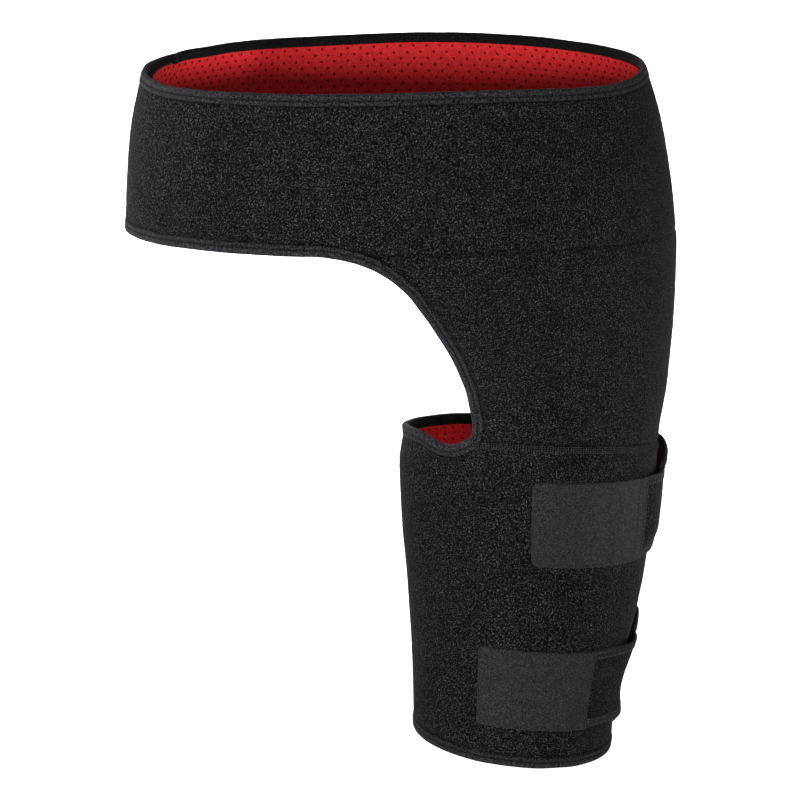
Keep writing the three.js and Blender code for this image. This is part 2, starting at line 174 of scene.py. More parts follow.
def smooth_curve(keys, values, at):
    """Cubic curve through a table with rising keys, straight beyond its ends."""
    at = np.asarray(at, float)
    last = len(keys) - 1
    i = np.clip(np.searchsorted(keys, at) - 1, 0, last - 1)

    def slope(a, b):
        return (values[b] - values[a]) / (keys[b] - keys[a])

    near = slope(np.maximum(i - 1, 0), i + 1)
    far = slope(i, np.minimum(i + 2, last))
    span = keys[i + 1] - keys[i]
    t = np.clip((at - keys[i]) / span, 0, 1)
    h = t * t * (3 - 2 * t)
    inside = values[i] * (1 - h) + values[i + 1] * h + span * t * (1 - t) * (near * (1 - t) - far * t)
    before = np.minimum(at - keys[0], 0) * slope(0, 1)
    after = np.maximum(at - keys[last], 0) * slope(last - 1, last)
    return inside + before + after


def smoothstep(at, low, high):
    t = np.clip((np.asarray(at, float) - low) / (high - low), 0, 1)
    return t * t * (3 - 2 * t)


def mixed(a, b, share):
    return a + (b - a) * share


def run_along(at):
    """Distance along a line of points, from its start."""
    return np.concatenate([[0], np.cumsum(np.linalg.norm(np.diff(at, axis=0), axis=1))])


def angle_from(angle, place):
    """Angle from a place's own angle, from -180 to 180."""
    return np.mod(np.asarray(angle, float) - place["angle"] + 180, 360) - 180


def grain(points, cell, seed):
    """Value noise from -1 to 1 over points, with the given cell size."""
    at = points / cell + seed * 7.31
    base = np.floor(at).astype(np.int64)
    f = at - base
    f = f * f * (3 - 2 * f)
    total = np.zeros(points.shape[:-1])
    for corner in product((0, 1), repeat=3):
        n = base + np.array(corner)
        mixing = (n[..., 0] * 73856093) ^ (n[..., 1] * 19349663) ^ (n[..., 2] * 83492791) ^ (seed * 2654435761)
        mixing = ((mixing ^ (mixing >> 13)) * 1274126177) & 0xFFFFFFFF
        mixing = ((mixing ^ (mixing >> 15)) * 2246822519) & 0xFFFFFFFF
        value = ((mixing >> 8) & 0xFFFF) / 32767.5 - 1
        weight = np.prod(np.where(np.array(corner) == 1, f, 1 - f), axis=-1)
        total += value * weight
    return total


def form_point(angle, z):
    angle, z = np.broadcast_arrays(np.asarray(angle, float), np.asarray(z, float))
    turn = np.radians(angle)
    heights = BODY_FORM[:, 0]
    x = smooth_curve(heights, BODY_FORM[:, 1], z)
    a = smooth_curve(heights, BODY_FORM[:, 2], z)
    b = smooth_curve(heights, BODY_FORM[:, 3], z)
    return np.stack([x + a * np.cos(turn), b * np.sin(turn), z], axis=-1)


def unit(vectors):
    return vectors / np.linalg.norm(vectors, axis=-1, keepdims=True)


def form_normal(angle, z):
    around = form_point(angle + 0.5, z) - form_point(angle - 0.5, z)
    up = form_point(angle, z + 0.5) - form_point(angle, z - 0.5)
    return unit(np.cross(around, up))


def cloth_point(angle, z, lift):
    """Place on the form, lifted along the normal, with the slight waviness of worn neoprene."""
    at = form_point(angle, z)
    wave = DRAPE * grain(at, 58.0, 3) + 0.4 * DRAPE * grain(at, 23.0, 4)
    away = angle_from(angle, SQUEEZE) / SQUEEZE["spread"]
    level = (np.asarray(z, float) - SQUEEZE["z"]) / SQUEEZE["height"]
    wave = wave - SQUEEZE["depth"] * np.exp(-away ** 2 - level ** 2)
    return at + form_normal(angle, z) * (np.asarray(lift) + wave)[..., None]


def plane_height(plane, angle):
    p = form_point(angle, plane["level"])
    return plane["height"] + plane["along_x"] * p[..., 0] + plane["along_y"] * p[..., 1]


def belt_top(angle):
    """Upper edge of the belt, lower where its start is tucked inside its end, and a little lower at its end."""
    angle = np.asarray(angle, float)
    wave = smooth_curve(RIM_WAVE[:, 0], RIM_WAVE[:, 1], np.maximum(angle, RIM_WAVE[0, 0]))
    bound = BELT_TURN["bound"]
    start = smoothstep(angle, bound - BELT_START_DROP["before"], bound + BELT_START_DROP["after"])
    end = smoothstep(-angle, BELT_END_DROP["from"], BELT_END_DROP["to"])
    dropped = BELT_END_DROP["depth"] * end + BELT_START_DROP["depth"] * start
    return plane_height(BELT_TOP, angle) + wave - dropped


def belt_bottom(angle):
    return BELT_BOTTOM_Z - OUTER_HIP_DIP * np.maximum(0, np.cos(np.radians(angle))) ** 2


def swell(angle, place):
    """Share of a local change round the form, one at its own angle and fading out over its spread."""
    return np.exp(-(angle_from(angle, place) / place["spread"]) ** 2)


def cuff_top(angle):
    sag = RIM_SAG["depth"] * swell(angle, RIM_SAG)
    return plane_height(CUFF_TOP, angle) - sag + RIM_RISE["height"] * swell(angle, RIM_RISE)


def belt_height(angle, down):
    return mixed(belt_top(angle), belt_bottom(angle), down)


def hip_height(angle, down):
    return mixed(belt_bottom(angle), cuff_top(angle), down)


def cuff_height(angle, down):
    return mixed(cuff_top(angle), plane_height(CUFF_BOTTOM, angle), down)


def belt_lift(angle):
    return -BELT_LAYER * smoothstep(angle, BELT_TURN["tuck_from"], BELT_TURN["tuck_to"])


def cuff_lift(angle, down):
    """Lift of the thigh wrap. Its lobes lie close, and the upper corner stands a little off the hip."""
    layer = CUFF_LAYER * smoothstep(-angle, -CUFF_TURN["rise_from"], -CUFF_TURN["rise_to"])
    layer = layer - (CUFF_LAYER - LOBE_LAYER) * smoothstep(-angle, LOBE_SETTLE["from"], LOBE_SETTLE["to"])
    flare = LOBE_FLARE["height"] * smoothstep(-angle, LOBE_FLARE["from"], LOBE_FLARE["to"])
    flare = flare * (1 - smoothstep(down, LOBE_FLARE["down_from"], LOBE_FLARE["down_to"]))
    drawn = RIM_DRAW["depth"] * swell(angle, RIM_DRAW) * (1 - smoothstep(down, 0, RIM_DRAW["reach"]))
    return layer + flare - drawn


def cuff_place(angle, down):
    angle, down = np.broadcast_arrays(np.asarray(angle, float), np.asarray(down, float))
    reach = 1 - OUTER_RAISE["share"] * smoothstep(-angle, -OUTER_RAISE["from"], -OUTER_RAISE["to"])
    return angle, cuff_height(angle, down * reach), cuff_lift(angle, down)


def strap_lift(angle, share, curl):
    """Lift of a strap. With curl, its lower part leaves the lobe and comes down to the wrap."""
    lobe = smoothstep(angle, STRAP_DROP["to"], STRAP_DROP["from"])
    off = curl * smoothstep(share, STRAP_CURL["share_from"], STRAP_CURL["share_to"])
    off = off * (1 - smoothstep(angle, STRAP_CURL["from"], STRAP_CURL["to"]))
    return STRAP_CLEAR + LOBE_LAYER * lobe * (1 - off)


# Paths of the bound edges, as rows of angle, height and lift with the cloth on the left from outside

def path_through(places, spacing):
    """Smooth dense path through a few places, evenly spaced along its length."""
    places = np.asarray(places, float)
    at = cloth_point(places[:, 0], places[:, 1], places[:, 2])
    run = run_along(at)
    count = max(2, int(round(run[-1] / spacing)) + 1)
    even = np.linspace(0, run[-1], count)
    return np.stack([smooth_curve(run, places[:, k], even) for k in range(3)], axis=-1)


def rows_of(angle, z, lift):
    return np.stack(np.broadcast_arrays(angle, z, lift), axis=-1)


def angles(start, end, step):
    return np.linspace(start, end, max(1, int(round(abs(end - start) / step))) + 1)


EDGE_LEAD = 4
front, back = HIP_EDGE[:, 1], HIP_EDGE[:, 2]
under_belt = angles(BELT_TURN["end"], front[0] - EDGE_LEAD, 6)
round_rim = angles(front[-1] - EDGE_LEAD, CUFF_TURN["end"], 7)
behind_belt = angles(back[0] + EDGE_LEAD, BELT_TURN["start"], 6)
lobe_top = WRAP_END[:4]
lobe_notch = WRAP_END[4:11]
lobe_low = WRAP_END[12:]

LEG_OPENING = path_through(np.concatenate([
    rows_of(under_belt, belt_bottom(under_belt), belt_lift(under_belt)),
    rows_of(front, hip_height(front, HIP_EDGE[:, 0]), 0.0),
    rows_of(*cuff_place(round_rim, 0.0)),
    rows_of(*cuff_place(lobe_top[:, 1], lobe_top[:, 0])),
]), TAPE_PATH_STEP)
HIP_BACK = path_through(np.concatenate([
    rows_of(back, hip_height(back, HIP_EDGE[:, 0]), 0.0)[:-1][::-1],
    rows_of(behind_belt, belt_bottom(behind_belt), belt_lift(behind_belt)),
]), TAPE_PATH_STEP)
along_rim = angles(BELT_TURN["bound"], BELT_TURN["end"], 6)
BELT_RIM = path_through(rows_of(along_rim, belt_top(along_rim), belt_lift(along_rim)), TAPE_PATH_STEP)
round_bottom = angles(CUFF_TURN["end"], CUFF_TURN["start"], 7)
CUFF_HEM = path_through(np.concatenate([
    rows_of(*cuff_place(lobe_low[:, 1], lobe_low[:, 0])),
    rows_of(*cuff_place(round_bottom, 1.0)),
]), TAPE_PATH_STEP)
NOTCH = path_through(rows_of(*cuff_place(lobe_notch[:, 1], lobe_notch[:, 0])), NOTCH_PATH_STEP)
BOUND_EDGES = [LEG_OPENING, HIP_BACK, BELT_RIM, CUFF_HEM, NOTCH]


def path_frame(path):
    """Points, directions along, normals and directions into the cloth of a path."""
    at = cloth_point(path[:, 0], path[:, 1], path[:, 2])
    along = unit(np.gradient(at, axis=0))
    normal = form_normal(path[:, 0], path[:, 1])
    into = unit(np.cross(normal, along))
    return at, along, normal, into


edge_points = np.concatenate([path_frame(path)[0] for path in BOUND_EDGES])
edge_tree = KDTree(len(edge_points))
for number, point in enumerate(edge_points):
    edge_tree.insert(point, number)
edge_tree.balance()


def edge_distance(points):
    """Distance from each point to the nearest bound edge."""
    flat = points.reshape(-1, 3)
    return np.array([edge_tree.find(p)[2] for p in flat]).reshape(points.shape[:-1])


# Materials

def material(name):
    made = bpy.data.materials.new(name)
    made.use_nodes = True
    tree = made.node_tree
    return made, tree, tree.nodes["Principled BSDF"]


def set_inputs(shader, values):
    for key, value in values.items():
        shader.inputs[key].default_value = value


def node(tree, kind, inputs=None, **settings):
    made = tree.nodes.new(kind)
    for key, value in settings.items():
        setattr(made, key, value)
    for key, value in (inputs or {}).items():
        if isinstance(value, bpy.types.NodeSocket):
            tree.links.new(value, made.inputs[key])
        else:
            made.inputs[key].default_value = value
    return made


def ramp(tree, factor, stops):
    made = node(tree, "ShaderNodeValToRGB", {"Fac": factor})
    elements = made.color_ramp.elements
    while len(elements) < len(stops):
        elements.new(1.0)
    for element, (position, colour) in zip(elements, stops):
        element.position = position
        element.color = (*colour, 1.0)
    return made.outputs["Color"]


def grey(value):
    return (value, value, value)


def ink(value):
    """Near black of the dyed cloth, a little towards violet."""
    return (value * 1.04, value * 0.95, value * 1.09)


def object_space(tree):
    return node(tree, "ShaderNodeTexCoord").outputs["Object"]


def weave_space(tree):
    return node(tree, "ShaderNodeAttribute", attribute_name="weave").outputs["Vector"]


def noise(tree, place, scale, detail=2.0, roughness=0.5):
    inputs = {"Vector": place, "Scale": scale, "Detail": detail, "Roughness": roughness}
    return node(tree, "ShaderNodeTexNoise", inputs).outputs["Fac"]


def multiplied(tree, a, b):
    made = node(tree, "ShaderNodeMix", data_type="RGBA", blend_type="MULTIPLY")
    made.inputs["Factor"].default_value = 1.0
    tree.links.new(a, made.inputs[6])
    tree.links.new(b, made.inputs[7])
    return made.outputs[2]


def bump(tree, height, distance, strength, under=None):
    inputs = {"Height": height, "Distance": distance, "Strength": strength}
    if under is not None:
        inputs["Normal"] = under
    return node(tree, "ShaderNodeBump", inputs).outputs["Normal"]


def loop_cloth():
    """Black brushed loop: dark ground, paler fibre tips that catch the light, darker in the seams with painted
    shade.
    """
    made, tree, shader = material("loop_cloth")
    place = object_space(tree)
    tips = noise(tree, place, 1220.0, 1.0, 0.6)
    fibre = ramp(tree, tips, [(0.32, ink(0.0008)), (0.47, ink(0.0042)), (0.56, ink(0.014)), (0.67, ink(0.052)),
                              (0.78, ink(0.12))])
    hairs = ramp(tree, noise(tree, place, 3600.0, 2.0, 0.7), [(0.36, grey(0.4)), (0.62, grey(1.0))])
    fibre = multiplied(tree, fibre, hairs)
    patches = ramp(tree, noise(tree, place, 55.0, 3.0), [(0.3, grey(0.78)), (0.7, grey(1.0))])
    level = node(tree, "ShaderNodeAttribute", attribute_name="shade").outputs["Fac"]
    level = node(tree, "ShaderNodeMapRange", {"Value": level, "From Min": -1.0, "From Max": 1.0})
    level = level.outputs["Result"]
    # Tint from the shade attribute: painted shade in the seams and beside the tapes, paler a little further from
    # them.
    worn = ramp(tree, level, [(0.0, grey(0.2)), (0.5, grey(0.72)), (1.0, grey(1.0))])
    tree.links.new(multiplied(tree, multiplied(tree, fibre, patches), worn), shader.inputs["Base Color"])
    set_inputs(shader, {"Roughness": 0.95, "Specular IOR Level": 0.03, "Sheen Weight": 0.02,
                        "Sheen Roughness": 0.4})
    coarse = bump(tree, tips, 0.0006, 0.5)
    fine = bump(tree, noise(tree, place, 3600.0, 2.0, 0.7), 0.0002, 0.5, coarse)
    tree.links.new(fine, shader.inputs["Normal"])
    return made


def red_lining():
    """Red jersey over foam, with a fine knit."""
    made, tree, shader = material("red_lining")
    place = object_space(tree)
    shade = ramp(tree, noise(tree, place, 520.0, 3.0, 0.65),
                 [(0.3, (0.20, 0.003, 0.004)), (0.5, (0.29, 0.005, 0.006)), (0.7, (0.38, 0.009, 0.010))])
    tree.links.new(shade, shader.inputs["Base Color"])
    set_inputs(shader, {"Roughness": 0.85, "Specular IOR Level": 0.2})
    knit = node(tree, "ShaderNodeTexVoronoi", {"Vector": place, "Scale": 1100.0}).outputs["Distance"]
    tree.links.new(bump(tree, knit, 0.0003, 0.5), shader.inputs["Normal"])
    return made


def perforation():
    """Dark red bottom of a hole in the lining: painted shade in the hole."""
    made, tree, shader = material("perforation")
    shade = ramp(tree, noise(tree, object_space(tree), 900.0),
                 [(0.3, (0.07, 0.001, 0.002)), (0.7, (0.12, 0.002, 0.003))])
    tree.links.new(shade, shader.inputs["Base Color"])
    set_inputs(shader, {"Roughness": 0.95, "Specular IOR Level": 0.05})
    return made


def edge_tape():
    """Folded elastic tape with ribs across it, brushed on its outer leg; painted shade makes its inner leg
    black.

    Along the weave's second axis painted shade darkens the sewn groove and the edge on the cloth.
    """
    made, tree, shader = material("edge_tape")
    place = weave_space(tree)
    ribs = node(tree, "ShaderNodeTexWave", {"Vector": place, "Scale": 0.32, "Distortion": 1.2, "Detail": 2.0,
                                            "Detail Scale": 3.0}, bands_direction="X").outputs["Fac"]
    shade = ramp(tree, ribs, [(0.1, ink(0.017)), (0.6, ink(0.028)), (0.95, ink(0.036))])
    speckle = ramp(tree, noise(tree, object_space(tree), 1000.0, 1.0, 0.6),
                   [(0.36, grey(0.05)), (0.5, grey(0.4)), (0.63, grey(1.0))])
    parts = node(tree, "ShaderNodeSeparateXYZ", {"Vector": place})
    # Painted shade: past the fold, the inner leg is darkened to near black.
    leg = ramp(tree, parts.outputs["Z"],
               [(0.0, grey(1.0)), (0.42, grey(1.0)), (0.62, grey(0.22)), (1.0, grey(0.16))])
    across = node(tree, "ShaderNodeMapRange", {"Value": parts.outputs["Y"], "From Max": TAPE_WIDTH})
    across = across.outputs["Result"]
    # Painted shade across the outer leg: dark at the edge on the cloth and in the sewn groove, a little on the
    # lower lip.
    edge_tone = ramp(tree, across, [(0.0, grey(0.4)), (0.12, grey(0.8)), (0.34, grey(0.9)), (0.47, grey(0.46)),
                                 (0.6, grey(0.46)), (0.76, grey(0.95)), (1.0, grey(1.0))])
    shade = multiplied(tree, multiplied(tree, shade, speckle), multiplied(tree, leg, edge_tone))
    tree.links.new(shade, shader.inputs["Base Color"])
    set_inputs(shader, {"Roughness": 0.85, "Specular IOR Level": 0.05, "Sheen Weight": 0.015})
    tree.links.new(bump(tree, ribs, 0.0002, 0.6), shader.inputs["Normal"])
    return made


def hook_tape():
    """Grey hook tape: rows of tiny hooks on a woven ground."""
    made, tree, shader = material("hook_tape")
    place = weave_space(tree)
    hooks = node(tree, "ShaderNodeTexVoronoi", {"Vector": place, "Scale": 1.0, "Randomness": 0.6})
    hooks = hooks.outputs["Distance"]
    rows = node(tree, "ShaderNodeTexWave", {"Vector": place, "Scale": 0.2, "Distortion": 0.6, "Detail": 1.0},
                bands_direction="Y").outputs["Fac"]
    shade = ramp(tree, hooks, [(0.1, ink(0.036)), (0.4, ink(0.021)), (0.75, ink(0.007))])
    lines = ramp(tree, rows, [(0.0, grey(0.88)), (1.0, grey(1.0))])
    speckle = ramp(tree, noise(tree, object_space(tree), 1200.0, 1.0),
                   [(0.35, grey(0.26)), (0.66, grey(1.0))])
    tree.links.new(multiplied(tree, multiplied(tree, shade, lines), speckle), shader.inputs["Base Color"])
    set_inputs(shader, {"Roughness": 0.8, "Specular IOR Level": 0.12})
    tree.links.new(bump(tree, hooks, 0.0003, 0.5), shader.inputs["Normal"])
    return made


def thread(name, low, high):
    """Spun thread."""
    made, tree, shader = material(name)
    shade = ramp(tree, noise(tree, object_space(tree), 2500.0), [(0.3, ink(low)), (0.7, ink(high))])
    tree.links.new(shade, shader.inputs["Base Color"])
    set_inputs(shader, {"Roughness": 0.8, "Specular IOR Level": 0.05})
    return made


LOOP = loop_cloth()
RED = red_lining()
HOLE = perforation()
EDGE = edge_tape()
HOOK = hook_tape()
THREAD = thread("thread", 0.001, 0.004)
GREY_THREAD = thread("grey_thread", 0.010, 0.026)


# Meshes

def add_piece(name, points, faces, materials, node_name=None, face_materials=None, weave=None,
              shade=None, sharp=50):
    mesh = bpy.data.meshes.new(name)
    mesh.from_pydata((np.asarray(points) * METRES).tolist(), [], faces)
    for made in materials:
        mesh.materials.append(made)
    if face_materials is not None:
        mesh.polygons.foreach_set("material_index", np.asarray(face_materials, dtype=np.int32))
    if weave is not None:
        layer = mesh.attributes.new("weave", "FLOAT_VECTOR", "POINT")
        layer.data.foreach_set("vector", np.asarray(weave, dtype=np.float32).ravel())
    if shade is not None:
        layer = mesh.attributes.new("shade", "FLOAT", "POINT")
        layer.data.foreach_set("value", np.asarray(shade, dtype=np.float32).ravel())
    mesh.shade_smooth()
    mesh.set_sharp_from_angle(angle=math.radians(sharp))
    mesh.update()
    piece = bpy.data.objects.new(name, mesh)
    bpy.context.scene.collection.objects.link(piece)
    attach(piece, "root")
    if node_name:
        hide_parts(node_name)
    return piece


def cells(rows, columns):
    """Corner numbers of each cell of a grid, going round it."""
    i, j = np.meshgrid(np.arange(rows - 1), np.arange(columns - 1), indexing="ij")
    first = i * columns + j
    return np.stack([first, first + 1, first + columns + 1, first + columns], axis=-1).reshape(-1, 4)


def wall_faces(rows, columns, step):
    """Faces of a closed wall: a fine outer grid and an inner grid with one cell for step by step cells."""
    inner_rows, inner_columns = (rows - 1) // step + 1, (columns - 1) // step + 1
    start = rows * columns
    outer = np.arange(start).reshape(rows, columns)
    inner = start + np.arange(inner_rows * inner_columns).reshape(inner_rows, inner_columns)
    faces = cells(rows, columns).tolist()
    faces += (start + cells(inner_rows, inner_columns))[:, ::-1].tolist()
    for b in range(inner_columns - 1):
        run = slice(b * step, (b + 1) * step + 1)
        faces.append([*outer[0, run][::-1].tolist(), int(inner[0, b]), int(inner[0, b + 1])])
        faces.append([*outer[-1, run].tolist(), int(inner[-1, b + 1]), int(inner[-1, b])])
    for a in range(inner_rows - 1):
        run = slice(a * step, (a + 1) * step + 1)
        faces.append([*outer[run, 0].tolist(), int(inner[a + 1, 0]), int(inner[a, 0])])
        faces.append([*outer[run, -1][::-1].tolist(), int(inner[a, -1]), int(inner[a + 1, -1])])
    return faces


def even_count(length, spacing, step):
    """Number of grid lines over a length, so that its cells divide by step."""
    return max(1, int(round(length / spacing / step))) * step + 1


def shell(name, angle, z, lift, seam):
    """Loop-faced panel: napped outer face, plain inner face. seam is the distance to its sewn seams."""
    base = cloth_point(angle, z, lift)
    normal = form_normal(angle, z)
    from_edge = edge_distance(base)
    clear = smoothstep(from_edge, TAPE_WIDTH - 1.0, TAPE_WIDTH + 1.5)
    nap = NAP * (0.65 * grain(base, 1.9, 11) + 0.35 * grain(base, 1.2, 12)) * clear
    drawn_in = np.exp(-((from_edge - TAPE_WIDTH - TAPE_DIP["beyond"]) / TAPE_DIP["spread"]) ** 2)
    outer = base + normal * (nap - seam_dip(seam) - TAPE_DIP["depth"] * drawn_in)[..., None]
    # Paler a little further from the tapes.
    edge_tone = TAPE_PALER["shade"] * np.exp(-((from_edge - TAPE_WIDTH) / TAPE_PALER["spread"]) ** 2)
    edge_tone = edge_tone * (0.6 + 0.4 * grain(base, 16.0, 13))
    # Painted shade along the sewn seams.
    sewn = SEAM["shade"] * np.exp(-(seam / SEAM["shade_spread"]) ** 2)
    # Painted shadow darkens the cloth right beside each tape.
    shade = edge_tone - sewn - TAPE_DIP["shade"] * drawn_in
    k = INNER_STEP
    inner = (base - normal * SHELL)[::k, ::k]
    points = np.concatenate([outer.reshape(-1, 3), inner.reshape(-1, 3)])
    shade = np.concatenate([shade.ravel(), np.zeros(inner.shape[0] * inner.shape[1])])
    faces = wall_faces(*outer.shape[:2], k)
    return add_piece(name, points, faces, [LOOP], name.removesuffix("_cloth"), shade=shade)


def seam_dip(distance):
    """Roll of a panel's face into a sewn seam at a distance from it."""
    return SEAM["depth"] * np.exp(-(distance / SEAM["spread"]) ** 2)


def belt_cloth():
    columns = even_count(BELT_GRID["along"], GRID, INNER_STEP)
    rows = even_count(BELT_GRID["down"], GRID, INNER_STEP)
    angle = np.linspace(BELT_TURN["start"], BELT_TURN["end"], columns)[None, :]
    down = np.linspace(0, 1, rows)[:, None]
    angle, down = np.broadcast_arrays(angle, down)
    low = belt_bottom(angle)
    z = mixed(belt_top(angle), low, down)
    past_hip = FAR_AWAY * smoothstep(np.abs(angle), *HIP_SEAM_END)
    return shell("waist_belt_cloth", angle, z, belt_lift(angle), z - low + past_hip)


def hip_cloth():
    at = cloth_point(front, hip_height(front, HIP_EDGE[:, 0]), np.zeros(len(front)))
    run = run_along(at)
    rows = even_count(run[-1], GRID, INNER_STEP)
    even = np.linspace(0, run[-1], rows)
    down = np.clip(smooth_curve(run, HIP_EDGE[:, 0], even), 0, 1)[:, None]
    first = smooth_curve(run, back, even)[:, None]
    last = smooth_curve(run, front, even)[:, None]
    columns = even_count(HIP_GRID_ALONG, GRID, INNER_STEP)
    angle = mixed(first, last, np.linspace(0, 1, columns)[None, :])
    down = np.broadcast_to(down, angle.shape)
    top, low = belt_bottom(angle), cuff_top(angle)
    z = mixed(top, low, down)
    return shell("hip_panel_cloth", angle, z, np.zeros(angle.shape), np.minimum(top - z, z - low))


def wrap_end(down):
    """Angle where the thigh wrap ends, at a share of the way down."""
    return smooth_curve(WRAP_END[:, 0], WRAP_END[:, 1], down)


def thigh_cloth():
    down = np.linspace(0, 1, even_count(WRAP_GRID["down"], GRID, INNER_STEP))
    end = wrap_end(down)
    turn = np.linspace(0, 1, even_count(WRAP_GRID["along"], GRID, INNER_STEP))[None, :]
    angle = np.broadcast_to(mixed(CUFF_TURN["start"], CUFF_TURN["end"], turn), (len(down), turn.shape[1]))
    lobe = np.linspace(0, 1, even_count(WRAP_GRID["lobe"], GRID, INNER_STEP))[None, 1:]
    lobes = mixed(CUFF_TURN["end"], end[:, None], lobe)
    angle = np.concatenate([angle, lobes], axis=1)
    down = np.broadcast_to(down[:, None], angle.shape)
    angle, z, lift = cuff_place(angle, down)
    past_hip = FAR_AWAY * (1 - smoothstep(angle, *THIGH_SEAM_END))
    return shell("thigh_wrap_cloth", angle, z, lift, cuff_top(angle) - z + past_hip)


def perforated(name, place_at, size, node_name):
    """Lining with staggered holes in its inner face. place_at gives angle, height and lift at shares."""
    rows, columns = round(size[0] / PERFORATION["down"]), round(size[1] / PERFORATION["across"])

    def point(r, c, depth):
        angle, z, lift = place_at(np.asarray(r, float) / rows, np.asarray(c, float) / columns)
        return cloth_point(angle, z, lift - LINING_IN + depth)

    r, c = np.meshgrid(np.arange(rows), np.arange(columns), indexing="ij")
    corner_r, corner_c = np.meshgrid(np.arange(rows + 1), np.arange(columns + 1), indexing="ij")
    face = point(corner_r, corner_c, 0.0)
    pitch_down = np.linalg.norm(face[1:, :-1] - face[:-1, :-1], axis=-1)[..., None]
    pitch_across = np.linalg.norm(face[:-1, 1:] - face[:-1, :-1], axis=-1)[..., None]
    side_r, side_c = np.meshgrid(np.arange(rows) + 0.5, np.arange(columns + 1), indexing="ij")
    turn = np.radians([-30, -90, -150, 150, 90, 30])
    middle_r = r + 0.5 + np.where(c % 2 == 0, 0.25, -0.25)
    hole_r = middle_r[..., None] - np.cos(turn) * PERFORATION["radius"] / pitch_down
    hole_c = c[..., None] + 0.5 + np.sin(turn) * np.minimum(PERFORATION["radius"] / pitch_across, 0.4)
    groups = [
        face, point(side_r, side_c, 0.0), point(hole_r, hole_c, 0.0),
        point(hole_r, hole_c, PERFORATION["depth"]), point(corner_r, corner_c, LINING_IN - LINING_OUT),
    ]
    starts = np.cumsum([0] + [g.reshape(-1, 3).shape[0] for g in groups])
    corner, side, hole, pit, backs = (
        start + np.arange(g.shape[0] * g.shape[1] * (6 if g.ndim == 4 else 1)).reshape(g.shape[:-1])
        for start, g in zip(starts, groups))
    around = np.stack([corner[:-1, :-1], side[:, :-1], corner[1:, :-1],
                       corner[1:, 1:], side[:, 1:], corner[:-1, 1:]], axis=-1)
    after = np.roll(np.arange(6), -1)
    ring = np.stack([around, around[..., after], hole[..., after], hole], axis=-1).reshape(-1, 4)
    wall = np.stack([hole, hole[..., after], pit[..., after], pit], axis=-1).reshape(-1, 4)
    floor = pit.reshape(-1, 6)
    behind = np.stack([backs[:-1, :-1], backs[:-1, 1:], backs[1:, 1:], backs[1:, :-1]], axis=-1).reshape(-1, 4)
    edges = [
        np.stack([corner[0, :-1], corner[0, 1:], backs[0, 1:], backs[0, :-1]], axis=-1),
        np.stack([corner[-1, 1:], corner[-1, :-1], backs[-1, :-1], backs[-1, 1:]], axis=-1),
        np.stack([corner[1:, 0], side[:, 0], corner[:-1, 0], backs[:-1, 0], backs[1:, 0]], axis=-1),
        np.stack([corner[:-1, -1], side[:, -1], corner[1:, -1], backs[1:, -1], backs[:-1, -1]], axis=-1),
    ]
    faces = ring.tolist() + wall.tolist() + floor.tolist() + behind.tolist()
    faces += [f for edge in edges for f in edge.tolist()]
    # Hole walls and floors take the hole paint, painted shade.
    dark = np.zeros(len(faces), dtype=np.int32)
    dark[len(ring):len(ring) + len(wall) + len(floor)] = 1
    points = np.concatenate([g.reshape(-1, 3) for g in groups])
    return add_piece(name, points, faces, [RED, HOLE], node_name, dark)


def belt_lining():
    def place_at(down, across):
        angle = mixed(BELT_TURN["start"] - 0.4, BELT_TURN["end"] + 1.0, across)
        low = belt_bottom(angle) + LINING_INSET * smoothstep(np.abs(angle), *HIP_SEAM_END)
        unbound = smoothstep(angle, BELT_TURN["bound"], BELT_TURN["bound"] + 3)
        high = belt_top(angle) - mixed(LINING_INSET, 0.4, unbound)
        return angle, mixed(high, low, down), belt_lift(angle)

    return perforated("belt_lining_cloth", place_at, LINING_GRID["belt"], "belt_lining")


def hip_lining():
    def inset_side(path):
        """Shares of the way down and angles of a line beside an edge, as far in as the lining begins."""
        at, _, _, into = path_frame(path)
        moved = at + into * LINING_INSET
        turn, z = path[:, 0], path[:, 1]
        around = unit(form_point(turn + 0.5, z) - form_point(turn - 0.5, z))
        axis = np.stack([smooth_curve(BODY_FORM[:, 0], BODY_FORM[:, 1], z), np.zeros(len(path)), z], axis=-1)
        angle = turn + np.degrees(np.sum((moved - at) * around, axis=1) / np.linalg.norm(at - axis, axis=1))
        down = (belt_bottom(angle) - moved[:, 2]) / (belt_bottom(angle) - cuff_top(angle))
        order = np.argsort(down)
        return down[order], angle[order]

    front_path = path_through(rows_of(front, hip_height(front, HIP_EDGE[:, 0]), 0.0), 1.5)
    back_path = path_through(rows_of(back, hip_height(back, HIP_EDGE[:, 0]), 0.0)[::-1], 1.5)
    front_down, front_angle = inset_side(front_path)
    back_down, back_angle = inset_side(back_path)

    def place_at(down, across):
        first = np.interp(down, back_down, back_angle)
        last = np.interp(down, front_down, front_angle)
        angle = mixed(first, last, across)
        top, low = belt_bottom(angle), cuff_top(angle)
        return angle, mixed(top, low, down), np.zeros(np.shape(angle))

    return perforated("hip_lining_cloth", place_at, LINING_GRID["hip"], "hip_lining")


def thigh_lining():
    def place_at(down, across):
        rough_angle = mixed(CUFF_TURN["start"], WRAP_REACH, across)
        under_hip = smoothstep(rough_angle, *HIP_FRONT_END)
        top = mixed(THIGH_LINING["top"], THIGH_LINING["under_hip"], under_hip)
        level = mixed(top, THIGH_LINING["bottom"], down)
        start, end = CUFF_TURN["start"] - THIGH_LINING["start"], wrap_end(level) + THIGH_LINING["end"]
        angle = mixed(start, end, across)
        return cuff_place(angle, level)

    return perforated("thigh_lining_cloth", place_at, LINING_GRID["thigh"], "thigh_lining")


